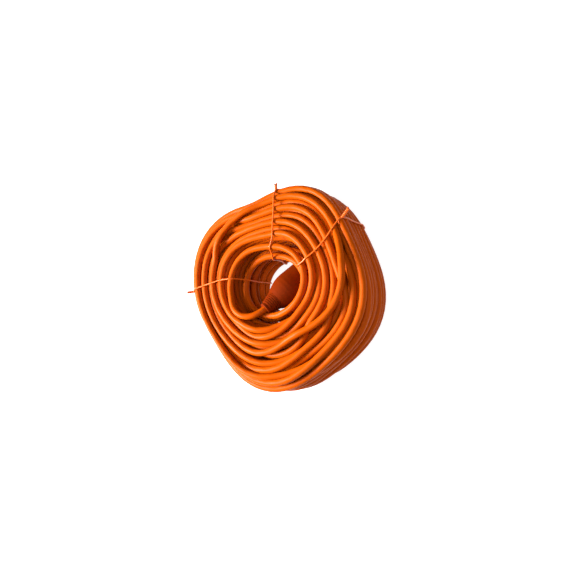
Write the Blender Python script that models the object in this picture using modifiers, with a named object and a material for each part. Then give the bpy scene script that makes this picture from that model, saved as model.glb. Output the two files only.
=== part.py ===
# Extension cord: a long orange three-core lead wound into a fat coil that lies flat,
# held by three wire ties, with its coupler tucked into the hole and its plug beside the coil.
# Metres, +Z up. The coil's axis is Z and its underside lies on z = 0.

import math

import bpy
from mathutils import Euler, Matrix, Vector

MM = 0.001
GAP = 0.3 * MM

# The lead
CORD_RADIUS = 4.5 * MM
CORD_SIDES_RESOLUTION = 3
CORE_RADIUS = 1.4 * MM

# The wound coil
COIL_HEIGHT = 84 * MM
COIL_MEAN_RADIUS = 138.3 * MM
# Each lobe of the coil's outline: lobes round the circle, cosine share, sine share.
OUTLINE_LOBES = (
    (2, 0.007, -0.0236),
    (3, -0.0176, 0.0257),
    (4, 0.0035, -0.0317),
    (5, 0.011, -0.0159),
)
HOLE_TOP_CENTRE = Vector((-10.5, 9, 0)) * MM
HOLE_TOP_HALF_WIDTHS = (63.5 * MM, 52 * MM)
HOLE_FOOT_CENTRE = Vector((4, 3, 0)) * MM
HOLE_FOOT_HALF_WIDTHS = (54.5 * MM, 50 * MM)
COIL_WIDTH = 88 * MM
COIL_STEPS = 72
CORNER_STEPS = 3
OUTER_TOP_CORNER = 14 * MM
OUTER_FOOT_CORNER = 20 * MM
HOLE_CORNER = 12 * MM

# The wire ties
TIE_RADIUS = 1.1 * MM
TIE_TAIL_LENGTH = 9 * MM
TIE_TAIL_RADIUS = 1.9 * MM

# The coupler, along its own axis: its mouth is at 0 and the lead comes in at the far end
COUPLER_MOUTH = Vector((31.0, 22.5, 23.5)) * MM
COUPLER_HEADING = math.radians(52)
COUPLER_DIP = math.radians(37)
PIN_SPACING = 19 * MM
SHUTTER_TURN = math.radians(40)
SPRING_TURNS = 3
SPRING_POINTS = 36

# The plug, along its own axis: its face is at 0 and its pins point along +Z
PLUG_FACE = Vector((-164.1, 42, 19.1)) * MM
PLUG_HEADING = math.radians(93)
EARTH_HOLE_OFFSET = 10 * MM

BORE_RADIUS = 4.85 * MM

# Moves the coil's axis off the origin, so that the origin is under the middle of the whole object
COIL_AXIS = Vector((21.023, 4.151, 0)) * MM


for old in list(bpy.data.objects):
    bpy.data.objects.remove(old, do_unlink=True)

scene = bpy.context.scene
extension_cord = bpy.data.collections.new("extension_cord")
scene.collection.children.link(extension_cord)
cutters = bpy.data.collections.new("cutters")
scene.collection.children.link(cutters)
coil_axis = bpy.data.objects.new("coil_axis", None)
coil_axis.location = COIL_AXIS
extension_cord.objects.link(coil_axis)


def material(name, colour, roughness, metallic=0.0):
    made = bpy.data.materials.new(name)
    made.use_nodes = True
    shader = made.node_tree.nodes["Principled BSDF"]
    shader.inputs["Base Color"].default_value = (*colour, 1)
    shader.inputs["Roughness"].default_value = roughness
    shader.inputs["Metallic"].default_value = metallic
    return made


ORANGE_SHEATH = material("orange_pvc_sheath", (0.82, 0.16, 0.01), 0.42)
ORANGE_MOULDING = material("orange_pvc_moulding", (0.72, 0.12, 0.01), 0.5)
ORANGE_TIE = material("orange_tie_wire", (0.85, 0.2, 0.02), 0.4)
GREY_INSERT = material("grey_nylon_insert", (0.05, 0.05, 0.055), 0.5)
WHITE_SHUTTER = material("white_shutter", (0.75, 0.74, 0.7), 0.45)
BRASS = material("brass_contact", (0.75, 0.55, 0.25), 0.3, 1.0)
NICKEL = material("nickel_pin", (0.72, 0.7, 0.66), 0.25, 1.0)
SPRING_STEEL = material("spring_steel", (0.55, 0.55, 0.56), 0.35, 1.0)
BROWN_CORE = material("brown_core", (0.12, 0.04, 0.02), 0.5)
BLUE_CORE = material("blue_core", (0.02, 0.12, 0.5), 0.5)
EARTH_CORE = material("green_yellow_core", (0.3, 0.5, 0.05), 0.5)


def place(obj, surface, parent=None, home=extension_cord):
    obj.data.materials.append(surface)
    obj.parent = parent or coil_axis
    home.objects.link(obj)
    return obj


def smooth(obj, angle=math.radians(35)):
    obj.data.shade_smooth()
    obj.data.set_sharp_from_angle(angle=angle)
    return obj


def turned(name, profile, surface, parent=None, steps=40, home=extension_cord):
    """A ring or a knob turned from (radius, height) points that run down its outer side."""
    mesh = bpy.data.meshes.new(name)
    count = len(profile)
    ring = all(radius > 0 for radius, _ in profile)
    edges = [(i, i + 1) for i in range(count - 1)] + ([(count - 1, 0)] if ring else [])
    mesh.from_pydata([(radius, 0, height) for radius, height in profile], edges, [])
    obj = place(bpy.data.objects.new(name, mesh), surface, parent, home)
    screw = obj.modifiers.new("turn", "SCREW")
    screw.steps = steps
    screw.render_steps = steps
    screw.use_merge_vertices = True
    screw.merge_threshold = 0.00001
    return obj


def meshed(obj):
    """The object as its modifiers and bevel leave it, made into a plain mesh object."""
    bpy.context.view_layer.update()
    graph = bpy.context.evaluated_depsgraph_get()
    mesh = bpy.data.meshes.new_from_object(obj.evaluated_get(graph))
    made = bpy.data.objects.new(obj.name, mesh)
    made.parent = obj.parent
    made.matrix_world = obj.matrix_world
    home = obj.users_collection[0]
    name = obj.name
    bpy.data.objects.remove(obj, do_unlink=True)
    made.name = name
    home.objects.link(made)
    return made


def weld_caps(obj, distance=0.00001):
    weld = obj.modifiers.new("weld caps", "WELD")
    weld.merge_threshold = distance
    return obj


def wire(name, points, radius, surface, parent=None, resolution=2, cyclic=False,
         home=extension_cord):
    curve = bpy.data.curves.new(name, "CURVE")
    curve.dimensions = "3D"
    curve.bevel_depth = radius
    curve.bevel_resolution = resolution
    curve.use_fill_caps = not cyclic
    spline = curve.splines.new("POLY")
    spline.points.add(len(points) - 1)
    spline.use_cyclic_u = cyclic
    for spot, point in zip(spline.points, points):
        spot.co = (*point, 1)
    return place(bpy.data.objects.new(name, curve), surface, parent, home)


def box(name, size, centre, surface, parent=None, home=extension_cord):
    bpy.ops.mesh.primitive_cube_add(size=1)
    obj = bpy.context.object
    obj.name = name
    for vertex in obj.data.vertices:
        vertex.co = Vector(centre) + Vector(a * b for a, b in zip(vertex.co, size))
    for owner in list(obj.users_collection):
        owner.objects.unlink(obj)
    return place(obj, surface, parent, home)


def hide(cutter):
    cutter.hide_render = True
    cutter.display_type = "WIRE"
    return cutter


def boolean(obj, other, operation="DIFFERENCE"):
    step = obj.modifiers.new(other.name, "BOOLEAN")
    step.operation = operation
    step.solver = "EXACT"
    step.object = hide(other)
    return obj


def cut_box(obj, name, size, centre, parent):
    return boolean(obj, box(name, size, centre, GREY_INSERT, parent, cutters))


def cut_hole(obj, name, radius, x, y, top, foot, parent, steps=20):
    drill = turned(name, [(0, top), (radius, top), (radius, foot), (0, foot)],
                   GREY_INSERT, parent, steps, cutters)
    drill.location = (x, y, 0)
    return boolean(obj, drill)


def smooth_route(points, spacing):
    """Points at an even spacing on a Catmull-Rom curve through the given ones."""
    ends = [points[0] * 2 - points[1], *points, points[-1] * 2 - points[-2]]
    fine = [points[0]]
    for before, start, finish, after in zip(ends, ends[1:], ends[2:], ends[3:]):
        for step in range(1, 25):
            t = step / 24
            fine.append(
                0.5 * (2 * start + (finish - before) * t
                       + (2 * before - 5 * start + 4 * finish - after) * t ** 2
                       + (3 * start - before - 3 * finish + after) * t ** 3)
            )
    reach = [0.0]
    for a, b in zip(fine, fine[1:]):
        reach.append(reach[-1] + (b - a).length)
    count = max(1, round(reach[-1] / spacing))
    route = []
    spot = 0
    for i in range(count + 1):
        goal = reach[-1] * i / count
        while spot < len(reach) - 2 and reach[spot + 1] < goal:
            spot += 1
        share = (goal - reach[spot]) / (reach[spot + 1] - reach[spot])
        route.append(fine[spot].lerp(fine[spot + 1], share))
    return route


def going_on(route, at):
    """The rest of a route beyond one of its points, begun square and a gap's width away."""
    ahead = (route[at] - route[at - 1]).normalized()
    return [route[at] + ahead * GAP, route[at] + ahead * CORD_RADIUS, *route[at + 1:]]


def ribbed(start, finish, ribs, depth, filling=0.6):
    """Outer profile of a ribbed sleeve between two (radius, height) points, from the top down."""
    points = []
    for rib in range(ribs):
        for share, drop in ((0, 0), (filling, 0), (filling + 0.08, depth), (0.92, depth)):
            t = (rib + share) / ribs
            points.append((start[0] + (finish[0] - start[0]) * t - drop,
                           start[1] + (finish[1] - start[1]) * t))
    return points


def in_mm(*points):
    return [(radius * MM, height * MM) for radius, height in points]


# The coil: one solid of the wound turns' outer shape. Its outline is a rounded square,
# and its hole narrows a little from the top to the foot.

def outer_edge(angle):
    swell = 1 + sum(c * math.cos(n * angle) + s * math.sin(n * angle) for n, c, s in OUTLINE_LOBES)
    radius = COIL_MEAN_RADIUS * swell
    return Vector((radius * math.cos(angle), radius * math.sin(angle), 0))


def hole_edge(angle, height):
    drop = 1 - height / COIL_HEIGHT
    centre = HOLE_TOP_CENTRE.lerp(HOLE_FOOT_CENTRE, drop)
    along = HOLE_TOP_HALF_WIDTHS[0] * (1 - drop) + HOLE_FOOT_HALF_WIDTHS[0] * drop
    across = HOLE_TOP_HALF_WIDTHS[1] * (1 - drop) + HOLE_FOOT_HALF_WIDTHS[1] * drop
    return centre + Vector((along * math.cos(angle), across * math.sin(angle), 0))


def coil_point(angle, share, height):
    """A point of the coil: share is 0 at the hole's wall and 1 at the outside."""
    spot = hole_edge(angle, height).lerp(outer_edge(angle), share)
    return Vector((spot.x, spot.y, height))


def coil_section(steps):
    """(share, height) points round the coil's section, down the outside first."""
    corners = (
        (1, COIL_HEIGHT, OUTER_TOP_CORNER, -1, -1, 90),
        (1, 0, OUTER_FOOT_CORNER, -1, 1, 0),
        (0, 0, HOLE_CORNER, 1, 1, -90),
        (0, COIL_HEIGHT, HOLE_CORNER, 1, -1, -180),
    )
    points = []
    for share, height, radius, inward, upward, start in corners:
        for step in range(steps + 1):
            turn = math.radians(start - 90 * step / steps)
            x = share * COIL_WIDTH + radius * (inward + math.cos(turn))
            z = height + radius * (upward + math.sin(turn))
            points.append((x / COIL_WIDTH, z))
    return points


coil = turned(
    "cord_coil",
    [(COIL_WIDTH * (1 + share), height) for share, height in coil_section(CORNER_STEPS)],
    ORANGE_SHEATH, steps=COIL_STEPS,
)
coil = meshed(coil)
for vertex in coil.data.vertices:
    turn = math.atan2(vertex.co.y, vertex.co.x)
    share = math.hypot(vertex.co.x, vertex.co.y) / COIL_WIDTH - 1
    vertex.co = coil_point(turn, share, vertex.co.z)

# The coupler's own axes stand on an empty at the middle of its mouth.
coupler = bpy.data.objects.new("coupler_axis", None)
extension_cord.objects.link(coupler)
coupler.parent = coil_axis
coupler.location = COUPLER_MOUTH
coupler.rotation_euler = (0, math.pi / 2 + COUPLER_DIP, COUPLER_HEADING)
coupler_frame = Matrix.Translation(COUPLER_MOUTH) @ Euler(coupler.rotation_euler).to_matrix().to_4x4()

# The plug's own axes stand on an empty at the middle of its face.
plug = bpy.data.objects.new("plug_axis", None)
extension_cord.objects.link(plug)
plug.parent = coil_axis
plug.location = PLUG_FACE
plug.rotation_euler = (0, math.pi / 2, PLUG_HEADING)
plug_frame = Matrix.Translation(PLUG_FACE) @ Euler(plug.rotation_euler).to_matrix().to_4x4()

# The lead from the coupler: out of the bell, round the hole's upper edge and into the top turn.
coupler_run = [coupler_frame @ Vector((0, 0, height * MM)) for height in (-58, -66, -76, -86)]
coupler_run += [
    Vector(point) * MM
    for point in (
        (-16.5, -34.0, 79.0),
        (-27.0, -33.0, 80.3),
        (-41.5, -26.5, 80.0),
        (-57.0, -14.0, 80.0),
        (-67.5, 4.0, 80.0),
        (-66.0, 24.0, 80.0),
        (-53.5, 41.5, 80.0),
        (-32.6, 51.5, 80.0),
        (-8.0, 54.5, 80.0),
        (17.0, 52.0, 80.0),
        (41.0, 41.5, 79.0),
        (60.0, 24.0, 77.0),
    )
]
coupler_route = smooth_route(coupler_run, 9 * MM)
break_at = next(i for i, spot in enumerate(coupler_route) if spot.x > 14 * MM and i > 12)
wire("cord_tail_coupler", coupler_route[:break_at + 1], CORD_RADIUS, ORANGE_SHEATH,
     resolution=CORD_SIDES_RESOLUTION)
top_turn_end = meshed(wire(
    "top_turn_end", going_on(coupler_route, break_at),
    CORD_RADIUS, ORANGE_SHEATH, resolution=CORD_SIDES_RESOLUTION, home=cutters,
))
weld_caps(top_turn_end)

# The lead from the plug: down to the ground and into the lowest outer turn.
plug_run = [plug_frame @ Vector((0, 0, height * MM)) for height in (-38.5, -50, -62, -74)]
plug_run += [
    Vector(point) * MM
    for point in (
        (-157.5, -50.0, 14.5),
        (-149.0, -67.0, 8.5),
        (-134.0, -82.0, 5.5),
        (-115.0, -93.5, 4.8),
        (-93.0, -103.0, 4.8),
        (-72.0, -111.5, 4.8),
        (-52.0, -117.5, 5.5),
        (-32.0, -122.0, 8.0),
    )
]
plug_route = smooth_route(plug_run, 9 * MM)
join_at = next(i for i, spot in enumerate(plug_route) if spot.x > -77 * MM)
wire("cord_tail_plug", plug_route[:join_at + 1], CORD_RADIUS, ORANGE_SHEATH,
     resolution=CORD_SIDES_RESOLUTION)
lowest_turn_end = meshed(wire(
    "lowest_turn_end", going_on(plug_route, join_at),
    CORD_RADIUS, ORANGE_SHEATH, resolution=CORD_SIDES_RESOLUTION, home=cutters,
))
weld_caps(lowest_turn_end)
boolean(coil, top_turn_end, "UNION")
boolean(coil, lowest_turn_end, "UNION")

# The three wire ties: each is a loop of plastic-covered wire round the coil's section, its two
# ends twisted together at the top of the outside. It lies in a groove that it has pressed.

def tie(name, outside, hole_top, hole_foot):
    spread = coil_section(4)
    loop = []
    for share, height in spread:
        inner = hole_foot + (hole_top - hole_foot) * height / COIL_HEIGHT
        angle = math.radians(inner + (outside - inner) * share)
        loop.append(coil_point(angle, share, max(height, TIE_RADIUS + 0.1 * MM)))
    groove = meshed(wire(name + "_groove", loop, TIE_RADIUS + GAP, ORANGE_TIE, resolution=1,
                         cyclic=True, home=cutters))
    boolean(coil, groove)
    ring = meshed(wire(name, loop, TIE_RADIUS, ORANGE_TIE, resolution=1, cyclic=True))
    corner = loop[1]
    outward = Vector((corner.x, corner.y, 0)).normalized()
    leaning = (outward + Vector((0, 0, 0.9))).normalized()
    tail_points = [corner, corner + leaning * TIE_TAIL_LENGTH]
    tail = meshed(wire(name + "_twist", tail_points, TIE_TAIL_RADIUS, ORANGE_TIE, resolution=1,
                       home=cutters))
    weld_caps(tail)
    boolean(ring, tail, "UNION")
    clearance = meshed(wire(
        name + "_twist_seat",
        [corner - leaning * 1 * MM, corner + leaning * TIE_TAIL_LENGTH * 1.5],
        TIE_TAIL_RADIUS + GAP * 2, ORANGE_TIE, resolution=1, home=cutters))
    weld_caps(clearance)
    boolean(coil, clearance)


tie("tie_top", 84.5, 74, 118)
tie("tie_upper_right", 36, 18, 24)
tie("tie_left", 181, 176, 168)
smooth(coil)

# The coupler's moulded bell: a shell open at the mouth, with a bore for the lead at its back.
smooth(turned("coupler_bell", in_mm(
    (22.9, 0), (23.8, -1.4), (23.8, -36), (23.3, -43), (21.9, -49), (19.6, -55), (16.8, -61),
    (14.6, -65), (4.85, -65), (4.85, -62.2), (11.5, -62.2), (14.4, -58), (17.3, -52.5),
    (19.7, -46.5), (21.3, -40), (21.3, 0),
), ORANGE_MOULDING, coupler, 48))

# The ribbed sleeve behind the bell keeps the lead from kinking and ends in a collar.
coupler_ribs = ribbed((13.9 * MM, -65.3 * MM), (9.2 * MM, -81.5 * MM), 6, 1.1 * MM)
smooth(turned("coupler_strain_relief", coupler_ribs + [
    (8.2 * MM, -81.6 * MM), (8.5 * MM, -81.9 * MM), (8.5 * MM, -84.5 * MM), (7.9 * MM, -85 * MM),
    (BORE_RADIUS, -85 * MM), (BORE_RADIUS, -65.3 * MM),
], ORANGE_MOULDING, coupler, 28))

# The socket insert: a cup with the two pin holes and two earth slots through its floor.
insert = turned("coupler_socket_insert", in_mm(
    (21.0, -0.8), (21.0, -21), (1.2, -21), (1.2, -17.8), (19.6, -17.8), (19.6, -0.8),
), GREY_INSERT, coupler, 48)
cut_hole(insert, "socket_hole_L", 2.8 * MM, PIN_SPACING / 2, 0, -15 * MM, -24 * MM, coupler)
cut_hole(insert, "socket_hole_N", 2.8 * MM, -PIN_SPACING / 2, 0, -15 * MM, -24 * MM, coupler)
for side, label in ((1, "upper"), (-1, "lower")):
    cut_box(insert, "socket_slot_" + label, (6.8 * MM, 1.9 * MM, 8 * MM),
            (0, side * 18.05 * MM, -19.4 * MM), coupler)
smooth(insert)

# The safety shutter: a disc on a rivet that turns to bring its windows under the pin holes.
shutter = turned("coupler_shutter", in_mm(
    (13.5, -21.4), (13.5, -22.6), (1.6, -22.6), (1.6, -21.4),
), WHITE_SHUTTER, coupler, 36)
for side, label in ((1, "L"), (-1, "N")):
    cut_hole(shutter, "window_" + label, 2.9 * MM,
             side * PIN_SPACING / 2 * math.cos(SHUTTER_TURN),
             -side * PIN_SPACING / 2 * math.sin(SHUTTER_TURN), -20 * MM, -24 * MM, coupler)
smooth(shutter)

# The rivet that the shutter turns on, fixed in the contact carrier.
smooth(turned("coupler_shutter_rivet", in_mm(
    (0, -21.3), (1.5, -21.3), (1.5, -22.9), (2.6, -22.9), (2.6, -23.6), (1.5, -23.6),
    (1.5, -32), (0, -32),
), SPRING_STEEL, coupler, 16))

# The spring that turns the shutter back, wound round the rivet.
wire("coupler_shutter_spring", [
    Vector((3.2 * MM * math.cos(i * math.tau * SPRING_TURNS / SPRING_POINTS),
            3.2 * MM * math.sin(i * math.tau * SPRING_TURNS / SPRING_POINTS),
            (-24.2 - 1.8 * i / SPRING_POINTS) * MM))
    for i in range(SPRING_POINTS + 1)
], 0.22 * MM, SPRING_STEEL, coupler, resolution=1)

# The contact carrier behind the shutter, with a bore for each sleeve and the rivet.
carrier = turned("coupler_contact_carrier", in_mm(
    (21.0, -26.6), (21.0, -39.7), (1.8, -39.7), (1.8, -26.6),
), GREY_INSERT, coupler, 40)
cut_hole(carrier, "sleeve_bore_L", 4.0 * MM, PIN_SPACING / 2, 0, -25 * MM, -41 * MM, coupler)
cut_hole(carrier, "sleeve_bore_N", 4.0 * MM, -PIN_SPACING / 2, 0, -25 * MM, -41 * MM, coupler)
for side, label in ((1, "upper"), (-1, "lower")):
    cut_box(carrier, "carrier_slot_" + label, (6.8 * MM, 1.9 * MM, 16 * MM),
            (0, side * 18.05 * MM, -33 * MM), coupler)
smooth(carrier)

# The two sleeves that grip the plug's pins, split down one side so that they spring.
for side, label in ((1, "L"), (-1, "N")):
    sleeve = turned("coupler_contact_" + label, in_mm(
        (3.6, -27), (3.6, -39.4), (2.45, -39.4), (2.45, -27),
    ), BRASS, coupler, 20)
    sleeve.location = (side * PIN_SPACING / 2, 0, 0)
    cut_box(sleeve, "sleeve_slit_" + label, (3 * MM, 0.8 * MM, 11 * MM),
            (side * (PIN_SPACING / 2 + 3 * MM), 0, -31 * MM), coupler)
    smooth(sleeve)
    crimp = turned("coupler_crimp_" + label, in_mm(
        (0, -39.8), (1.9, -39.8), (1.9, -45), (0, -45),
    ), BRASS, coupler, 14)
    crimp.location = (side * PIN_SPACING / 2, 0, 0)
    smooth(crimp)

# The earth bow: one strip bent into a U, whose two arms touch the plug's side contacts.
earth_bow = box("coupler_earth_bow", (6 * MM, 36.6 * MM, 0.8 * MM), (0, 0, -41.6 * MM),
                BRASS, coupler)
for side, label in ((1, "upper"), (-1, "lower")):
    arm = box("earth_arm_" + label, (6 * MM, 0.8 * MM, 38 * MM),
              (0, side * 17.9 * MM, -23 * MM), BRASS, coupler, cutters)
    boolean(earth_bow, arm, "UNION")
earth_crimp = turned("coupler_crimp_earth", in_mm(
    (0, -42.3), (1.9, -42.3), (1.9, -47.3), (0, -47.3),
), BRASS, coupler, 14)
earth_crimp.location = (0, 7 * MM, 0)
smooth(earth_crimp)

# The three cores, from the stripped end of the sheath to their crimps.
def core(name, surface, parent, points):
    return wire(name, smooth_route([Vector(point) * MM for point in points], 2.6 * MM),
                CORE_RADIUS, surface, parent, resolution=1)


core("coupler_core_brown", BROWN_CORE, coupler,
     ((9.5, 0, -45.3), (9.2, 0, -48.5), (4.8, -0.5, -53.5), (1.8, -0.9, -56.6)))
core("coupler_core_blue", BLUE_CORE, coupler,
     ((-9.5, 0, -45.3), (-9.2, 0, -48.5), (-4.8, -0.5, -53.5), (-1.8, -0.9, -56.6)))
core("coupler_core_green_yellow", EARTH_CORE, coupler,
     ((0, 7, -47.6), (0, 6.6, -50.5), (0, 3.6, -54.5), (0, 2.2, -56.6)))

# The plug's moulded body, with a groove for each side contact and a bore for the lead.
plug_body = turned("plug_body", in_mm(
    (17.8, 0), (18.4, -0.8), (18.4, -17), (19, -18), (19, -22.5), (18.1, -26), (16.2, -32),
    (13.2, -37.5), (10.6, -41), (9.7, -44), (4.85, -44), (4.85, -41.8), (6.4, -40.5), (9.8, -36.5),
    (13.2, -30), (15.2, -24), (15.2, -5), (16.2, -5), (16.2, 0),
), ORANGE_MOULDING, plug, 48)
for side, label in ((1, "upper"), (-1, "lower")):
    cut_box(plug_body, "plug_groove_" + label, (6.8 * MM, 4 * MM, 18 * MM),
            (0, side * 19.2 * MM, -7.6 * MM), plug)
    cut_box(plug_body, "plug_slot_" + label, (6.8 * MM, 8 * MM, 1.6 * MM),
            (0, side * 17 * MM, -15.8 * MM), plug)
smooth(plug_body)

# The plug's ribbed sleeve.
plug_ribs = ribbed((9.3 * MM, -44.3 * MM), (7.3 * MM, -69 * MM), 7, 1.0 * MM)
smooth(turned("plug_strain_relief", plug_ribs + [
    (7.0 * MM, -69.1 * MM), (7.4 * MM, -69.4 * MM), (7.4 * MM, -71.6 * MM), (6.9 * MM, -72 * MM),
    (BORE_RADIUS, -72 * MM), (BORE_RADIUS, -44.3 * MM),
], ORANGE_MOULDING, plug, 24))

# The face plate that carries the pins and the tube for a socket's earth pin.
face_plate = turned("plug_face_plate", in_mm(
    (15.9, -0.2), (15.9, -4.7), (1.0, -4.7), (1.0, -0.2),
), GREY_INSERT, plug, 40)
for side, label in ((1, "L"), (-1, "N")):
    cut_hole(face_plate, "pin_seat_" + label, 2.7 * MM, side * PIN_SPACING / 2, 0,
             1 * MM, -6 * MM, plug)
cut_hole(face_plate, "earth_tube_seat", 3.6 * MM, 0, EARTH_HOLE_OFFSET, 1 * MM, -6 * MM, plug)
smooth(face_plate)

# The two round pins, each with a shoulder behind the face plate.
for side, label in ((1, "L"), (-1, "N")):
    pin = turned("plug_pin_" + label, in_mm(
        (0, 19), (1.2, 18.8), (2.1, 17.9), (2.4, 16.6), (2.4, -5), (3.4, -5), (3.4, -6.2),
        (2.2, -6.2), (2.2, -13.8), (0, -13.8),
    ), NICKEL, plug, 20)
    pin.location = (side * PIN_SPACING / 2, 0, 0)
    smooth(pin)

# The tube in the face that takes a socket's earth pin.
earth_tube = turned("plug_earth_tube", in_mm(
    (3.3, -0.2), (3.3, -14), (0.6, -14), (0.6, -13), (2.45, -13), (2.45, -0.2),
), BRASS, plug, 18)
earth_tube.location = (0, EARTH_HOLE_OFFSET, 0)
smooth(earth_tube)

# The plug's earth strip: two side contacts joined by a bridge through the body.
side_contacts = box("plug_earth_strip", (6 * MM, 36.6 * MM, 0.8 * MM), (0, 0, -15.8 * MM),
                    BRASS, plug)
for side, label in ((1, "upper"), (-1, "lower")):
    contact = box("side_contact_" + label, (6 * MM, 0.8 * MM, 15.2 * MM),
                  (0, side * 17.9 * MM, -8.6 * MM), BRASS, plug, cutters)
    boolean(side_contacts, contact, "UNION")

core("plug_core_brown", BROWN_CORE, plug,
     ((9.5, 0, -14.1), (9.3, 0, -19), (5.6, -0.5, -29), (1.8, -0.9, -37.2)))
core("plug_core_blue", BLUE_CORE, plug,
     ((-9.5, 0, -14.1), (-9.3, 0, -19), (-5.6, -0.5, -29), (-1.8, -0.9, -37.2)))
core("plug_core_green_yellow", EARTH_CORE, plug,
     ((0, 6, -16.5), (0, 5.8, -21), (0, 3.8, -30), (0, 2.2, -37.2)))
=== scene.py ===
import math

import bmesh
import bpy
import numpy as np
from mathutils import Euler, Matrix, Vector


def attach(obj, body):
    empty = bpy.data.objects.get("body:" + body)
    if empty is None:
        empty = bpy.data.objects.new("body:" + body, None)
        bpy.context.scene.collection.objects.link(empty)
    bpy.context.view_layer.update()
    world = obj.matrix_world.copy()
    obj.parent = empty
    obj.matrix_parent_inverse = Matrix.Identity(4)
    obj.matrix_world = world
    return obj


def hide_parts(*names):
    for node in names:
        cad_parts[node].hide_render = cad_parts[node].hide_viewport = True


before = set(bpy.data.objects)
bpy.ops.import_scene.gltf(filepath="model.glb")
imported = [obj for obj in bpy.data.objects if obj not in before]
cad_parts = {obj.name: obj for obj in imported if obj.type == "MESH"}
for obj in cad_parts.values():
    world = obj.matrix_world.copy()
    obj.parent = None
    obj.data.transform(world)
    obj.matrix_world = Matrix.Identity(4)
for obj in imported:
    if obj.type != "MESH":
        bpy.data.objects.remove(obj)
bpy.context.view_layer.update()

MM = 0.001

# The camera looks down on the coil from above and a little to its right, as over a table.
# Its distance and lens give the coil the strong near and far sides of a close view.
COIL_AXIS = np.array([21.023, 4.151, 0.0])
MIDDLE_HEIGHT = 42
CAMERA_DISTANCE = 680
TOWARDS_CAMERA = Vector((0.53639, -0.09458, 0.83867))
aim = Vector(COIL_AXIS + [0, 0, MIDDLE_HEIGHT]) * MM
eye = aim + TOWARDS_CAMERA * CAMERA_DISTANCE * MM
camera = bpy.data.objects.new("camera", bpy.data.cameras.new("camera"))
backward = (eye - aim).normalized()
sideways = Vector((0, 1, 0)).cross(backward).normalized()
upward = backward.cross(sideways)
facing = Matrix((sideways, upward, backward)).transposed().to_4x4()
camera.matrix_world = Matrix.Translation(eye) @ facing
camera.data.lens = 29.66
camera.data.sensor_width = 36
camera.data.shift_x = 0.00985
camera.data.shift_y = -0.00334
bpy.context.scene.collection.objects.link(camera)
bpy.context.scene.camera = camera
bpy.context.scene.view_settings.view_transform = "Standard"
bpy.ops.object.select_all(action="DESELECT")


# The lead: a three-core mains lead, 9 mm across, in a smooth extruded sheath of orange PVC.
# It is wound by hand, clockwise, in nine layers with the loose inner one first, and its turns
# press into each other. One end goes into the coupler's sleeve and the other into the plug's.
CORD_DIAMETER = 9.0
CORD_RADIUS = CORD_DIAMETER / 2
SLICES = 80
SLICE_STEP = 360 / SLICES
COIL_HEIGHT = 84.0
OUTLINE_LOBES = (
    (2, 0.007, -0.0236),
    (3, -0.0176, 0.0257),
    (4, 0.0035, -0.0317),
    (5, 0.011, -0.0159),
)
MEAN_RADIUS = 138.3
HOLE_HALF_X = 63.5
HOLE_HALF_Y = 52.0
HOLE_TAPER_X = 9.0
HOLE_TAPER_Y = 2.0
HOLE_CENTRE_TOP = (-10.5, 9.0)
HOLE_CENTRE_SHIFT = (14.5, -6.0)
LAYERS = 8
ROWS = 9
ROW_PITCH = (COIL_HEIGHT + 1 - CORD_DIAMETER) / (ROWS - 0.5)
TURN_START = 75.0
INNER_LAYER_END = 1875.0


def outline_radius(angle):
    """Distance from the coil's axis to its outside, in mm, at an angle in radians."""
    swell = 1 + sum(c * np.cos(n * angle) + s * np.sin(n * angle) for n, c, s in OUTLINE_LOBES)
    return MEAN_RADIUS * swell


def hole_radius(angle, height):
    """Distance from the coil's axis to the hole's wall: an ellipse that shrinks downwards."""
    drop = 1 - height / COIL_HEIGHT
    across = HOLE_HALF_X - HOLE_TAPER_X * drop
    along = HOLE_HALF_Y - HOLE_TAPER_Y * drop
    c = np.cos(angle) / across
    s = np.sin(angle) / along
    x = (HOLE_CENTRE_TOP[0] + HOLE_CENTRE_SHIFT[0] * drop) / across
    y = (HOLE_CENTRE_TOP[1] + HOLE_CENTRE_SHIFT[1] * drop) / along
    a = c * c + s * s
    b = -(c * x + s * y)
    return (-b + np.sqrt(b * b - a * (x * x + y * y - 1))) / a


def eased(share):
    """A share from 0 to 1 that starts and ends gently."""
    share = np.clip(share, 0, 1)
    return share * share * (3 - 2 * share)


def smooth_route(points, spacing):
    """Points at an even spacing on a Catmull-Rom curve through the given ones."""
    points = np.asarray(points, float)
    ends = np.vstack([2 * points[0] - points[1], points, 2 * points[-1] - points[-2]])
    t = np.linspace(0, 1, 25)[1:, None]
    fine = [points[:1]]
    for before, start, finish, after in zip(ends, ends[1:], ends[2:], ends[3:]):
        fine.append(0.5 * (2 * start + (finish - before) * t
                           + (2 * before - 5 * start + 4 * finish - after) * t ** 2
                           + (3 * start - before - 3 * finish + after) * t ** 3))
    fine = np.vstack(fine)
    reach = np.concatenate([[0], np.cumsum(np.linalg.norm(np.diff(fine, axis=0), axis=1))])
    goal = np.linspace(0, reach[-1], max(2, round(reach[-1] / spacing) + 1))
    return np.stack([np.interp(goal, reach, fine[:, i]) for i in range(3)], axis=1)


def along_axis(origin, turn, heights):
    """Points on a connector's own axis, at heights in mm from the middle of its face."""
    axis = np.array(Euler(turn).to_matrix().col[2])
    return [np.array(origin) + axis * height for height in heights]


COUPLER_MOUTH = (31.0, 22.5, 23.5)
COUPLER_TURN = (0, math.radians(127), math.radians(52))
PLUG_FACE = (-164.1, 42.0, 19.1)
PLUG_TURN = (0, math.radians(90), math.radians(93))

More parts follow.
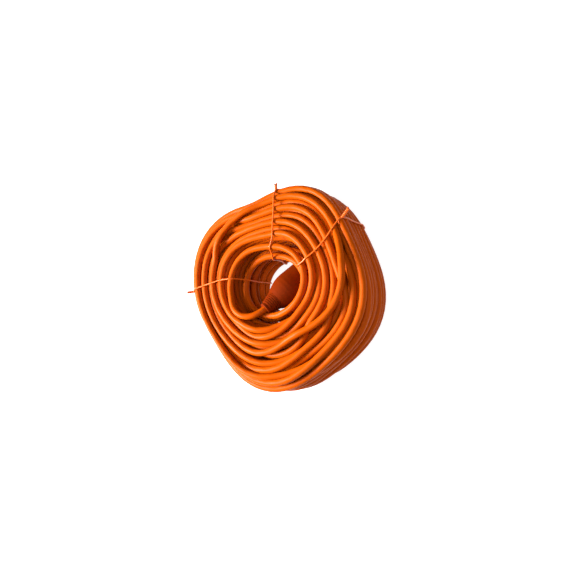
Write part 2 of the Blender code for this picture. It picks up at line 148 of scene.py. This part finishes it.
coupler_run = smooth_route(along_axis(COUPLER_MOUTH, COUPLER_TURN, (-58, -66, -76, -86)) + [
    (-20.0, -38.2, 81.5), (-31.4, -41.2, 85.2), (-43.0, -39.5, 86.5), (-53.0, -33.0, 86.0),
    (-59.8, -23.0, 84.5), (-63.5, -10.5, 83.0), (-66.0, 5.0, 81.5), (-65.0, 24.0, 80.5),
    (-53.5, 41.5, 80.0), (-32.6, 51.5, 80.0),
    (-8.0, 54.5, 80.0), (17.0, 52.0, 80.0), (41.0, 41.5, 79.0), (60.0, 24.0, 77.0),
], 2)
plug_run = smooth_route(along_axis(PLUG_FACE, PLUG_TURN, (-38.5, -50, -62, -74)) + [
    (-157.5, -50.0, 14.5), (-149.0, -67.0, 8.5), (-134.0, -82.0, 5.5), (-115.0, -93.5, 4.8),
    (-93.0, -103.0, 4.8), (-72.0, -111.5, 4.8), (-52.0, -117.5, 5.5), (-32.0, -122.0, 8.0),
], 2)[::-1]

# The second turn hangs a little free of the hole's wall, so it has its own points.
second_turn = np.array([
    (60.0, 24.0, 77.0), (56.5, 10.0, 79.5), (54.5, -2.0, 80.0), (46.0, -20.0, 79.0),
    (30.0, -33.0, 76.5), (2.6, -40.7, 72.0), (-30.0, -36.0, 66.5), (-52.0, -19.0, 62.0),
    (-63.4, 6.2, 60.0), (-57.0, 24.0, 60.5), (-40.0, 38.0, 61.5), (-5.5, 45.5, 63.0),
    (25.0, 40.5, 62.0), (46.0, 25.0, 61.0), (56.0, 4.0, 60.0),
])
inner_layer = np.array([
    (360, 60), (440, 56), (546, 50), (630, 47), (720, 44), (906, 36), (1086, 29), (1266, 22),
    (1446, 16), (1626, 11), (1760, 7.5), (1835, 6), (1915, 5), (2000, 5),
])


def unrolled(points):
    """(turned angle in degrees, distance from the axis, height) of points that go clockwise."""
    angle = -np.degrees(np.unwrap(np.arctan2(points[:, 1], points[:, 0])))
    return angle, np.hypot(points[:, 0], points[:, 1]), points[:, 2]


# Every slice of the coil is a half plane through its axis. The cord passes the same slice once
# each turn, so the turns are one table: a row for each turn and a column for each slice.
first_angle, first_radius, first_height = unrolled(coupler_run)
first_angle -= 360
FIRST_FREE_ANGLE = -243.0
first_slice = math.ceil(FIRST_FREE_ANGLE / SLICE_STEP)
coil_end = INNER_LAYER_END + 360 * (ROWS * LAYERS - 1)
plug_angle, plug_radius, plug_height = unrolled(plug_run)
plug_angle += 360 * round((coil_end + 30 - plug_angle[0]) / 360)
last_slice = math.floor((plug_angle[0] + 50) / SLICE_STEP)
turned_angle = np.arange(first_slice, last_slice + 1) * SLICE_STEP
angle = np.radians(-turned_angle)

# Places in the section: layer 0 is the hole's wall and layer 8 the outside. Odd layers are
# wound upwards and even ones downwards, and each turn crosses to the next place on the loose side.
sites = []
for layer in range(1, LAYERS + 1):
    rows = range(ROWS) if layer % 2 else range(ROWS - 1, -1 if layer < LAYERS else 0, -1)
    sites += [(layer, row) for row in rows]
sites = np.array(sites, float)
site_height = CORD_RADIUS + ROW_PITCH * (sites[:, 1] + 0.5 * (sites[:, 0] % 2))

random = np.random.default_rng(7)
cross_middle = TURN_START + random.uniform(-12, 12, len(sites) + 1)
cross_width = random.uniform(60, 90, len(sites) + 1)
progress = (turned_angle - INNER_LAYER_END) / 360
turn = np.clip(np.floor(progress + 0.5).astype(int), 0, len(sites))
into = (turned_angle - INNER_LAYER_END) - 360 * turn
share = eased(0.5 + (into - (cross_middle[turn] - TURN_START)) / cross_width[turn])
before = np.clip(turn - 1, 0, len(sites) - 1)
after = np.clip(turn, 0, len(sites) - 1)
layer = sites[before, 0] * (1 - share) + sites[after, 0] * share
height = site_height[before] * (1 - share) + site_height[after] * share

# One turn of the top face rides over four others, out towards the rim and back again.
RIDE_START = 160
RIDE_END = -80
LAYERS_RIDDEN = 3.7
compass = -((turned_angle + 180) % 360 - 180)
ride = eased((RIDE_START - compass) / 70) * eased((compass - RIDE_END) / 120)
on_top = (np.where(share < 0.5, sites[before, 1], sites[after, 1]) == ROWS - 1) & (turn > 0)
base_layer = np.where(share < 0.5, sites[before, 0], sites[after, 0])
rider = on_top & (base_layer == 3)
layer = np.where(rider, layer + LAYERS_RIDDEN * ride, layer)
height = np.where(rider, height + 9.5 * np.clip(8 * ride * (1 - ride), 0, 1)
                  - ROW_PITCH / 2 * ride, height)
for passed in range(4, 8):
    under = on_top & (base_layer == passed)
    layer = np.where(under, layer - eased((LAYERS_RIDDEN * ride - (passed - 4)) / 1.2), layer)
    height = np.where(under, height + ROW_PITCH / 2 * (0.5 - passed % 2) * 2 * ride, height)

# Where the coil is widest its turns have climbed to the top face and lie side by side there.
CLIMB = 9
climb = np.exp(-((compass + 95 + 180) % 360 - 180) ** 2 / 45 ** 2)
height = height + CLIMB * climb * (height / COIL_HEIGHT) ** 2

# The inner layer and the second turn follow their own points.
wall = hole_radius(angle, height) + CORD_RADIUS
outside = outline_radius(angle) - CORD_RADIUS
inner_height = np.interp(turned_angle, inner_layer[:, 0], inner_layer[:, 1])
second_angle, second_radius, second_height = unrolled(smooth_route(second_turn, 2))
own_height = np.where(turned_angle < 355, np.interp(turned_angle, second_angle, second_height),
                      inner_height)


def bulge(middle, width, depth):
    """How far, in mm, the loose inner layer leans into the hole about one angle in degrees."""
    turned = (compass - middle + 180) % 360 - 180
    return depth * np.exp(-(turned / width) ** 2)


lean = bulge(185, 50, 6) + bulge(95, 32, 8) + bulge(-52, 44, 10)
lean *= eased((66 - own_height) / 8)
lean += bulge(62, 40, 8) * eased((36 - own_height) / 14)
lean += bulge(-65, 40, 9) * eased((45 - own_height) / 15)
own_radius = hole_radius(angle, own_height) + CORD_RADIUS - lean
own_radius = np.where(turned_angle < 355, np.interp(turned_angle, second_angle, second_radius),
                      own_radius)
blend = eased((turned_angle - (INNER_LAYER_END - 40)) / 80)
radius = wall + (outside - wall) * layer / LAYERS
radius = own_radius * (1 - blend) + radius * blend
height = own_height * (1 - blend) + height * blend

# The stretches that the plug and the coupler hold are fixed, and the rest is free to settle.
count = len(turned_angle)
held_first = turned_angle <= first_angle[-1]
held_last = turned_angle >= plug_angle[0]
radius = np.where(held_first, np.interp(turned_angle, first_angle, first_radius), radius)
height = np.where(held_first, np.interp(turned_angle, first_angle, first_height), height)
radius = np.where(held_last, np.interp(turned_angle, plug_angle, plug_radius), radius)
height = np.where(held_last, np.interp(turned_angle, plug_angle, plug_height), height)
lead_out = eased((turned_angle - (plug_angle[0] - 60)) / 60) * ~held_last
radius = radius * (1 - lead_out) + plug_radius[0] * lead_out
height = height * (1 - lead_out) + plug_height[0] * lead_out

# Each turn also wanders a little from its place, as a hand-laid turn does.
WANDER_SIDEWAYS = 1.7
KNOT_STEP = 9
knots = random.normal(0, 1, (2, count // KNOT_STEP + 3))
at = np.arange(count) / KNOT_STEP
low = at.astype(int)
part = eased(at - low)
wander = knots[:, low] * (1 - part) + knots[:, low + 1] * part
free = np.clip((turned_angle - first_angle[-1]) / 30, 0, 1)
free *= np.clip((plug_angle[0] - turned_angle) / 30, 0, 1)
radius = radius + WANDER_SIDEWAYS * wander[0] * free
height = height + wander[1] * free

turns = math.ceil(count / SLICES)
spot = np.full((turns * SLICES, 2), 1e5)
spot[:, 0] += 1000 * np.repeat(np.arange(turns), SLICES)
spot[:count, 0] = radius
spot[:count, 1] = height
loose = np.zeros(turns * SLICES)
loose[:count] = free
goal = spot.copy()
slice_angle = np.zeros(turns * SLICES)
slice_angle[:count] = angle
limit_out = outline_radius(slice_angle) - CORD_RADIUS
limit_out += 3.5 * np.clip(np.cos(slice_angle), 0, 1)

# The coil's outside is rounded over at its foot and, less, at its top.
FOOT_CORNER = 15.75
FOOT_CORNER_TOP = 20.0
TOP_CORNER = 9.75
TOP_CORNER_FOOT = 71.0
TURN_GAP = 0.06


def settle(steps, pull, spot):
    """Moves the turns of each slice apart until none is in another, within the coil's outside."""
    for step in range(steps):
        spot = spot + (goal - spot) * (pull * loose)[:, None]
        stray = spot - goal
        stray[1:-1] += 0.25 * (stray[:-2] + stray[2:] - 2 * stray[1:-1]) * loose[1:-1, None]
        spot = goal + stray
        table = spot.reshape(turns, SLICES, 2).astype(np.float32)
        weight = loose.reshape(turns, SLICES).astype(np.float32)
        apart = table[:, None] - table[None, :]
        distance = np.sqrt((apart ** 2).sum(axis=3)) + 1e-6
        push = np.clip(CORD_DIAMETER + TURN_GAP - distance, 0, None)
        push[np.arange(turns), np.arange(turns)] = 0
        both = weight[:, None] + weight[None, :] + 1e-6
        push = push / distance * weight[:, None] / both
        spot = spot + 0.7 * (apart * push[..., None]).sum(axis=1).reshape(-1, 2)
        low_side = np.clip(FOOT_CORNER_TOP - spot[:, 1], 0, FOOT_CORNER)
        high_side = np.clip(spot[:, 1] - TOP_CORNER_FOOT, 0, TOP_CORNER)
        corner = FOOT_CORNER - np.sqrt(FOOT_CORNER ** 2 - low_side ** 2)
        corner += TOP_CORNER - np.sqrt(TOP_CORNER ** 2 - high_side ** 2)
        most = limit_out - corner
        over = np.clip(spot[:, 0] - most, 0, None) * loose * (spot[:, 0] < 1000)
        spot[:, 0] -= over
        least = hole_radius(slice_angle, spot[:, 1].clip(0, COIL_HEIGHT)) + CORD_RADIUS
        under = np.clip(least - spot[:, 0], 0, None) * loose * (goal[:, 0] > least - 0.1)
        spot[:, 0] += under
        spot[:, 1] += np.clip(CORD_RADIUS - spot[:, 1], 0, None) * loose
    return spot


steps = 160
spot = settle(steps, 0.04, spot)
spot = settle(steps // 2, 0.0, spot)
winding = np.stack([spot[:count, 0] * np.cos(angle), spot[:count, 0] * np.sin(angle),
                    spot[:count, 1]], axis=1)
start = coupler_run[first_angle < turned_angle[0] - 3]
finish = plug_run[plug_angle > turned_angle[-1] + 3]
route = np.vstack([start[::2], winding, finish[::-4][::-1]]) + COIL_AXIS

# The lead is too stiff for a bend of less than four times its width: sharper ones open out.
# Only the first one is left, where the coupler's sleeve holds the lead.
TIGHTEST_BEND = 44.0
FIRST_BEND_END = 24
for step in range(120):
    bow = (route[2:] + route[:-2]) / 2 - route[1:-1]
    bend = 8 * np.linalg.norm(bow, axis=1) / ((route[2:] - route[:-2]) ** 2).sum(axis=1)
    sharp = np.clip(3 * (bend * TIGHTEST_BEND - 1), 0, 1)
    sharp = np.maximum(sharp, np.maximum(np.roll(sharp, 1), np.roll(sharp, -1)))
    sharp[:FIRST_BEND_END] = sharp[-1] = 0
    route[1:-1] += 0.5 * bow * sharp[:, None]
steps_along = np.linalg.norm(np.diff(route, axis=0), axis=1)

# Its surface is a ring of 14 points round each point of the route. The map called wrap runs
# once round the lead and, in metres, along it.
CORD_SIDES = 14
forward = np.gradient(route, axis=0)
forward /= np.linalg.norm(forward, axis=1)[:, None]
side = np.cross(forward, [0, 0, 1])
side /= np.linalg.norm(side, axis=1)[:, None]
over = np.cross(side, forward)
round_angle = np.arange(CORD_SIDES) * math.tau / CORD_SIDES
rings = (route[:, None]
         + CORD_RADIUS * np.cos(round_angle)[None, :, None] * side[:, None]
         + CORD_RADIUS * np.sin(round_angle)[None, :, None] * over[:, None])
vertices = rings.reshape(-1, 3) * MM
ring = np.arange(len(route) - 1)[:, None] * CORD_SIDES
here = np.arange(CORD_SIDES)
there = (here + 1) % CORD_SIDES
faces = np.stack([ring + here, ring + there, ring + CORD_SIDES + there, ring + CORD_SIDES + here],
                 axis=2).reshape(-1, 4)
mesh = bpy.data.meshes.new("lead")
caps = [list(range(CORD_SIDES))[::-1],
        [(len(route) - 1) * CORD_SIDES + i for i in range(CORD_SIDES)]]
mesh.from_pydata(vertices.tolist(), [], faces.tolist() + caps)
mesh.shade_smooth()
reach = np.concatenate([[0], np.cumsum(steps_along)]) * MM
around = np.stack([here, here + 1, here + 1, here], axis=1) / CORD_SIDES
around = np.broadcast_to(around, (len(route) - 1, CORD_SIDES, 4))
along = np.stack([reach[:-1], reach[:-1], reach[1:], reach[1:]], axis=1)[:, None]
along = np.broadcast_to(along, (len(route) - 1, CORD_SIDES, 4))
wrap = np.stack([around, along], axis=3).reshape(-1)
wrap = np.concatenate([wrap, np.zeros(4 * CORD_SIDES)])
mesh.uv_layers.new(name="wrap").uv.foreach_set("vector", wrap.astype(np.float32))
lead = bpy.data.objects.new("lead", mesh)
bpy.context.scene.collection.objects.link(lead)
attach(lead, "lead")
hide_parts("cord_coil", "cord_tail_coupler", "cord_tail_plug")


def srgb(code):
    """A linear colour from an sRGB hex code."""
    parts = [int(code[i:i + 2], 16) / 255 for i in (1, 3, 5)]
    linear = [c / 12.92 if c <= 0.04045 else ((c + 0.055) / 1.055) ** 2.4 for c in parts]
    return (*linear, 1)


def add_node(tree, kind, settings=(), links=()):
    """Adds a node, with its properties or sockets set, and its sockets linked to outputs."""
    node = tree.nodes.new(kind)
    for name, value in dict(settings).items():
        if isinstance(name, str) and hasattr(node, name):
            setattr(node, name, value)
        else:
            node.inputs[name].default_value = value
    for socket, output in dict(links).items():
        tree.links.new(output, node.inputs[socket])
    return node


def new_finish(name, roughness, metallic=0.0, specular=0.5):
    """A new material with its shader, whose plain sockets are set here."""
    made = bpy.data.materials.new(name)
    made.use_nodes = True
    shader = made.node_tree.nodes["Principled BSDF"]
    shader.inputs["Roughness"].default_value = roughness
    shader.inputs["Metallic"].default_value = metallic
    shader.inputs["Specular IOR Level"].default_value = specular
    return made, made.node_tree, shader


# Extruded plasticised PVC: satin, with long faint streaks from the die, fine scuffs, and the
# slow twist of the three cores showing through. The streaks are 40 mm long and 1 mm wide.
# A Mix node's two colours are its sockets 6 and 7, and its colour comes out of socket 2.
CORE_LAY = 0.065
CORES = 3
sheath, tree, shader = new_finish("extruded_orange_pvc", 0.4, specular=0.05)
coords = add_node(tree, "ShaderNodeTexCoord")
streak_size = add_node(tree, "ShaderNodeMapping", {"Scale": (28, 25, 1)},
                       {"Vector": coords.outputs["UV"]})
streaks = add_node(tree, "ShaderNodeTexNoise", {"Scale": 1.0, "Detail": 3.0},
                   {"Vector": streak_size.outputs["Vector"]})
dust = add_node(tree, "ShaderNodeTexNoise", {"Scale": 60.0, "Detail": 4.0},
                {"Vector": coords.outputs["Object"]})
tone = add_node(tree, "ShaderNodeMix",
                {"data_type": "RGBA", 6: srgb("#A44000"), 7: srgb("#B84C00")},
                {"Factor": streaks.outputs["Fac"]})
worn = add_node(tree, "ShaderNodeMapRange", {"From Min": 0.55, "From Max": 0.8, "To Max": 0.35},
                {"Value": dust.outputs["Fac"]})
dusty = add_node(tree, "ShaderNodeMix", {"data_type": "RGBA", 7: srgb("#B04E08")},
                 {"Factor": worn.outputs["Result"], 6: tone.outputs[2]})
tree.links.new(dusty.outputs[2], shader.inputs["Base Color"])
twist = add_node(tree, "ShaderNodeVectorMath",
                 {"operation": "DOT_PRODUCT",
                  1: (CORES * math.tau, CORES * math.tau / CORE_LAY, 0)},
                 {0: coords.outputs["UV"]})
cores = add_node(tree, "ShaderNodeMath", {"operation": "SINE"}, {0: twist.outputs["Value"]})
grain = add_node(tree, "ShaderNodeMath", {"operation": "MULTIPLY_ADD", 1: 0.25},
                 {0: streaks.outputs["Fac"], 2: cores.outputs["Value"]})
relief = add_node(tree, "ShaderNodeBump", {"Strength": 0.5, "Distance": 0.00012},
                  {"Height": grain.outputs["Value"]})
tree.links.new(relief.outputs["Normal"], shader.inputs["Normal"])
gloss = add_node(tree, "ShaderNodeMapRange", {"To Min": 0.33, "To Max": 0.5},
                 {"Value": dust.outputs["Fac"]})
tree.links.new(gloss.outputs["Result"], shader.inputs["Roughness"])
lead.data.materials.append(sheath)


# The wire ties: three soft wires with a plastic cover, 2 mm across, drawn tight round the turns
# by hand. Each lies on the turns that stand proud and spans the gaps, and its two ends are
# twisted together at the outside.
# Soft plastic cover of the tie wire: the same orange, a little brighter and glossier.
tie_finish, tree, shader = new_finish("plastic_covered_tie_wire", 0.35, specular=0.3)
coords = add_node(tree, "ShaderNodeTexCoord")
mottle = add_node(tree, "ShaderNodeTexNoise", {"Scale": 250.0, "Detail": 2.0},
                  {"Vector": coords.outputs["Object"]})
tone = add_node(tree, "ShaderNodeMix",
                {"data_type": "RGBA", 6: srgb("#C94F0A"), 7: srgb("#E06612")},
                {"Factor": mottle.outputs["Fac"]})
tree.links.new(tone.outputs[2], shader.inputs["Base Color"])
relief = add_node(tree, "ShaderNodeBump", {"Strength": 0.3, "Distance": 0.0001},
                  {"Height": mottle.outputs["Fac"]})
tree.links.new(relief.outputs["Normal"], shader.inputs["Normal"])

TIE_RADIUS = 1.1
COIL_WIDTH = 88.0


def outer_edge(turned):
    reach = outline_radius(turned)
    return np.array([reach * math.cos(turned), reach * math.sin(turned)])


def hole_edge(turned, height):
    drop = 1 - height / COIL_HEIGHT
    across = HOLE_HALF_X - HOLE_TAPER_X * drop
    along = HOLE_HALF_Y - HOLE_TAPER_Y * drop
    return np.array([
        HOLE_CENTRE_TOP[0] + HOLE_CENTRE_SHIFT[0] * drop + across * math.cos(turned),
        HOLE_CENTRE_TOP[1] + HOLE_CENTRE_SHIFT[1] * drop + along * math.sin(turned),
    ])


def tube(name, path, radius, sides, closed=False):
    """Vertices and faces of a round wire along a path, with ends closed unless it is a ring."""
    path = np.asarray(path, float)
    if closed:
        heading = np.roll(path, -1, axis=0) - np.roll(path, 1, axis=0)
    else:
        heading = np.gradient(path, axis=0)
    heading /= np.linalg.norm(heading, axis=1)[:, None]
    across = np.cross(heading[0], [0.3, 0.5, 0.8])
    made = bmesh.new()
    loops = []
    for spot, ahead in zip(path, heading):
        across = across - ahead * across.dot(ahead)
        across /= np.linalg.norm(across)
        beside = np.cross(ahead, across)
        loops.append([
            made.verts.new((spot + radius * (math.cos(t) * across + math.sin(t) * beside)) * MM)
            for t in np.arange(sides) * math.tau / sides
        ])
    if closed:
        loops.append(loops[0])
    for first, second in zip(loops, loops[1:]):
        shift = 0
        if closed and second is loops[0]:
            shift = min(range(sides), key=lambda k: (first[0].co - second[k].co).length)
        for i in range(sides):
            made.faces.new((first[i], first[(i + 1) % sides], second[(i + 1 + shift) % sides],
                            second[(i + shift) % sides]))
    if not closed:
        made.faces.new(loops[0][::-1])
        made.faces.new(loops[-1])
    bmesh.ops.recalc_face_normals(made, faces=made.faces)
    mesh = bpy.data.meshes.new(name)
    made.to_mesh(mesh)
    made.free()
    return mesh


fine_route = np.vstack([route[:-1] * (1 - t) + route[1:] * t for t in np.arange(6) / 6])
fine_route -= COIL_AXIS
TIE_STEPS = 400
TIGHT_STEPS = 90
TWIST_PITCH = 5.0


def laid_tie(name, outside, hole_top, hole_foot, inside, tail_lean, tail_length):
    """A closed loop round the coil's section at given angles, shrunk on to the turns."""
    corners = []
    for share, height, radius, inward, upward, start in (
        (1, COIL_HEIGHT, 14, -1, -1, 90), (1, 0, 20, -1, 1, 0),
        (0, 0, 12, 1, 1, -90), (0, COIL_HEIGHT, 12, 1, -1, -180),
    ):
        for step in range(9):
            turned = math.radians(start - 90 * step / 8)
            corners.append((share * COIL_WIDTH + radius * (inward + math.cos(turned)),
                            height + radius * (upward + math.sin(turned))))
    corners = np.array(corners + corners[:1])
    reach = np.concatenate([[0], np.cumsum(np.linalg.norm(np.diff(corners, axis=0), axis=1))])
    section = np.stack([np.interp(np.linspace(0, reach[-1], 150)[:-1], reach, corners[:, i])
                        for i in range(2)], axis=1)
    middle = np.array([COIL_WIDTH / 2, COIL_HEIGHT / 2])
    section = middle + (section - middle) * (1.16, 1.18)
    section[:, 0] -= inside * eased((middle[0] - section[:, 0]) / 30)
    loop, outward = [], []
    for width, height in section:
        level = min(max(height, 0), COIL_HEIGHT)
        inner = hole_foot + (hole_top - hole_foot) * level / COIL_HEIGHT
        across = width / COIL_WIDTH
        turned = math.radians(inner + (outside - inner) * min(max(across, 0), 1))
        near, far = hole_edge(turned, level), outer_edge(turned)
        direction = (far - near) / np.linalg.norm(far - near)
        flat = near + (far - near) * across
        loop.append((flat[0], flat[1], height))
        outward.append((direction[0], direction[1], 0))
    loop, outward = np.array(loop), np.array(outward)
    close = np.zeros(len(fine_route), bool)
    for spot in loop[::3]:
        close |= ((fine_route - spot) ** 2).sum(axis=1) < 25 ** 2
    strands = fine_route[close]
    least = CORD_RADIUS + TIE_RADIUS
    for step in range(TIE_STEPS):
        if step < TIE_STEPS - 30:
            tension = 0.4 * (np.roll(loop, 1, axis=0) + np.roll(loop, -1, axis=0) - 2 * loop)
            tension += (loop.mean(axis=0) - loop) * (0.003 if step < TIGHT_STEPS else 0.00015)
            loop += outward * (tension * outward).sum(axis=1)[:, None] + tension * (0, 0, 1)
        for again in range(2):
            away = loop[:, None] - strands[None]
            distance = np.linalg.norm(away, axis=2)
            nearest = distance.argmin(axis=1)
            gap = distance[np.arange(len(loop)), nearest]
            push = away[np.arange(len(loop)), nearest] / gap[:, None]
            push *= np.clip(least - gap, 0, None)[:, None]
            loop += outward * (push * outward).sum(axis=1)[:, None] + push * (0, 0, 1)
        loop[:, 2] = np.clip(loop[:, 2], TIE_RADIUS + 0.2, None)
    corner = loop[(loop * (outward * 0.7 + [0, 0, 0.7])).sum(axis=1).argmax()]
    lean = np.array(tail_lean, float)
    lean /= np.linalg.norm(lean)
    across = np.cross(lean, [0, 0, 1.0])
    across /= np.linalg.norm(across)
    beside = np.cross(lean, across)
    meshes = [tube(name, loop + COIL_AXIS, TIE_RADIUS, 10, closed=True)]
    for half in (0, math.pi):
        t = np.linspace(0, 1, 40)
        twist = half + t * tail_length / TWIST_PITCH * math.tau
        spread = TIE_RADIUS * (1 + 0.8 * eased((t - 0.85) / 0.15))
        round_axis = across * np.cos(twist)[:, None] + beside * np.sin(twist)[:, None]
        tail = (corner + COIL_AXIS + lean * (t * tail_length)[:, None]
                + round_axis * spread[:, None])
        meshes.append(tube(name, tail, TIE_RADIUS * 0.95, 8))
    joined = bmesh.new()
    for mesh in meshes:
        joined.from_mesh(mesh)
    mesh = bpy.data.meshes.new(name + "_wire")
    joined.to_mesh(mesh)
    joined.free()
    mesh.shade_smooth()
    wire = bpy.data.objects.new(name + "_wire", mesh)
    bpy.context.scene.collection.objects.link(wire)
    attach(wire, "lead")
    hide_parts(name)
    wire.data.materials.append(tie_finish)


laid_tie("tie_top", 84.5, 74, 118, 22, (0.3, 0.6, 0.5), 9)
laid_tie("tie_upper_right", 36, 18, 24, 0, (0.75, 0.62, 0.3), 15)
laid_tie("tie_left", 181, 176, 168, 16, (-0.8, -0.12, 0.45), 9)


# The coupler's bell, the plug's body and the ribbed sleeves of both: the same orange PVC as the
# sheath, moulded on over the joined cores. Their colour is made darker than the sheath's as painted
# shade, for the shade that the coil's hole casts on the coupler's bell. The mould leaves a fine
# matt grit.
GRIT_DEPTH = 0.00008


def moulded(name, dark, light, grit, roughness, specular):
    """A moulded plastic: its colour varies a little, and its skin has the mould's fine grit."""
    made, tree, shader = new_finish(name, roughness, specular=specular)
    coords = add_node(tree, "ShaderNodeTexCoord")
    cloud = add_node(tree, "ShaderNodeTexNoise", {"Scale": 45.0, "Detail": 3.0},
                     {"Vector": coords.outputs["Object"]})
    tone = add_node(tree, "ShaderNodeMix",
                    {"data_type": "RGBA", 6: srgb(dark), 7: srgb(light)},
                    {"Factor": cloud.outputs["Fac"]})
    tree.links.new(tone.outputs[2], shader.inputs["Base Color"])
    skin = add_node(tree, "ShaderNodeTexNoise", {"Scale": 1 / grit, "Detail": 2.0},
                    {"Vector": coords.outputs["Object"]})
    relief = add_node(tree, "ShaderNodeBump", {"Strength": 0.6, "Distance": GRIT_DEPTH},
                      {"Height": skin.outputs["Fac"]})
    tree.links.new(relief.outputs["Normal"], shader.inputs["Normal"])
    return made


def dress(surface, *names):
    """Gives CAD nodes a new material in place of their plain one."""
    for name in names:
        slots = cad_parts[name].data.materials
        slots.clear()
        slots.append(surface)


# The two dark tones below are painted shade: the bell's colour is darkened as though it lay in the
# hole's shade.
dress(moulded("moulded_orange_pvc_painted_shade", "#641C00", "#742400", 0.0004, 0.6, 0.03),
      "coupler_bell", "coupler_strain_relief", "plug_body", "plug_strain_relief")

# The hard insides of the ends: the coupler's cup and contact carrier and the plug's face plate
# are moulded in glass-filled nylon, grey and a little rough, and are held by the moulding.
dress(moulded("glass_filled_grey_nylon", "#3A3B3E", "#4A4B4E", 0.0003, 0.5, 0.4),
      "coupler_socket_insert", "coupler_contact_carrier", "plug_face_plate")

# The shutter turns behind the pin holes: white acetal, smooth and slippery, on its own rivet.
dress(moulded("white_acetal", "#D9D6CC", "#E6E3DA", 0.0005, 0.35, 0.5), "coupler_shutter")

# The cores: copper strands in a soft PVC cover, brown for the line and blue for the neutral.
# Each is crimped to its contact inside the moulding.
dress(moulded("brown_pvc_core", "#4A2413", "#5A2E1A", 0.0004, 0.45, 0.3),
      "coupler_core_brown", "plug_core_brown")
dress(moulded("blue_pvc_core", "#1D4FA0", "#2B62B8", 0.0004, 0.45, 0.3),
      "coupler_core_blue", "plug_core_blue")

# The earth core has green and yellow stripes, a little over 1 mm wide.
earth_core, tree, shader = new_finish("striped_pvc_core", 0.45, specular=0.3)
coords = add_node(tree, "ShaderNodeTexCoord")
bands = add_node(tree, "ShaderNodeTexWave", {"Scale": 110.0},
                 {"Vector": coords.outputs["Object"]})
striped = add_node(tree, "ShaderNodeValToRGB", {}, {"Fac": bands.outputs["Fac"]})
striped.color_ramp.interpolation = "CONSTANT"
striped.color_ramp.elements[0].color = srgb("#2E7D32")
striped.color_ramp.elements[1].position = 0.5
striped.color_ramp.elements[1].color = srgb("#E8C81E")
tree.links.new(striped.outputs["Color"], shader.inputs["Base Color"])
dress(earth_core, "coupler_core_green_yellow", "plug_core_green_yellow")

# The contacts: sleeves, crimps and earth parts are pressed from brass strip, bare, with a faint
# tarnish and drawing marks. The plug's pins are turned brass with bright nickel plate, and the
# shutter's spring and rivet are steel.


def worked_metal(name, dark, light, grain, roughness):
    """A pressed or turned metal: fine scratches and patches of tarnish."""
    made, tree, shader = new_finish(name, roughness, metallic=1.0)
    coords = add_node(tree, "ShaderNodeTexCoord")
    patches = add_node(tree, "ShaderNodeTexNoise", {"Scale": 120.0, "Detail": 4.0},
                       {"Vector": coords.outputs["Object"]})
    tone = add_node(tree, "ShaderNodeMix",
                    {"data_type": "RGBA", 6: srgb(dark), 7: srgb(light)},
                    {"Factor": patches.outputs["Fac"]})
    tree.links.new(tone.outputs[2], shader.inputs["Base Color"])
    scratches = add_node(tree, "ShaderNodeTexNoise", {"Scale": 1 / grain, "Detail": 2.0},
                         {"Vector": coords.outputs["Object"]})
    dulled = add_node(tree, "ShaderNodeMapRange",
                      {"To Min": roughness - 0.1, "To Max": roughness + 0.15},
                      {"Value": scratches.outputs["Fac"]})
    tree.links.new(dulled.outputs["Result"], shader.inputs["Roughness"])
    return made


dress(worked_metal("pressed_brass", "#B58A3C", "#D9B25E", 0.0003, 0.35),
      "coupler_contact_L", "coupler_contact_N", "coupler_crimp_L", "coupler_crimp_N",
      "coupler_crimp_earth", "coupler_earth_bow", "plug_earth_strip", "plug_earth_tube")
dress(worked_metal("nickel_plated_brass", "#B9B4AB", "#D8D4CC", 0.0004, 0.25),
      "plug_pin_L", "plug_pin_N")
dress(worked_metal("spring_steel_wire", "#8D8F92", "#A8AAAD", 0.0003, 0.35),
      "coupler_shutter_spring", "coupler_shutter_rivet")

# The floor is a pale plain sheet that glows a little, so that shadows on it stay light.
bpy.ops.mesh.primitive_plane_add(size=6)
floor = bpy.context.object
floor.name = "floor"
paper = bpy.data.materials.new("paper")
paper.use_nodes = True
shader = paper.node_tree.nodes["Principled BSDF"]
shader.inputs["Base Color"].default_value = (0.25, 0.25, 0.25, 1)
shader.inputs["Emission Color"].default_value = (1, 1, 1, 1)
shader.inputs["Emission Strength"].default_value = 0.9
floor.data.materials.append(paper)

# The room gives a faint light of its own, and its far walls look as pale as the floor.
world = bpy.data.worlds.new("studio")
bpy.context.scene.world = world
world.use_nodes = True
room = world.node_tree.nodes["Background"]
room.inputs["Color"].default_value = (1, 1, 1, 1)
room.inputs["Strength"].default_value = 0.08
walls = add_node(world.node_tree, "ShaderNodeBackground", {"Color": (1, 1, 1, 1), "Strength": 1.0})
ray = add_node(world.node_tree, "ShaderNodeLightPath")
seen = add_node(world.node_tree, "ShaderNodeMixShader", {}, {
    0: ray.outputs["Is Camera Ray"], 1: room.outputs["Background"], 2: walls.outputs["Background"]})
world.node_tree.links.new(seen.outputs["Shader"],
                          world.node_tree.nodes["World Output"].inputs["Surface"])

# Two soft square lamps, 0.5 m and 1 m wide: a strong one from the left and a weak one above.
LAMPS = (
    ("key", (-1.1, -0.22, 0.95), 0.5, 96),
    ("fill", (0.6, -0.1, 1.3), 1.0, 11),
)
for name, place, size, power in LAMPS:
    light = bpy.data.objects.new(name, bpy.data.lights.new(name, "AREA"))
    light.data.energy = power
    light.data.size = size
    light.location = place
    light.rotation_euler = (-Vector(place)).to_track_quat("-Z", "Y").to_euler()
    bpy.context.scene.collection.objects.link(light)
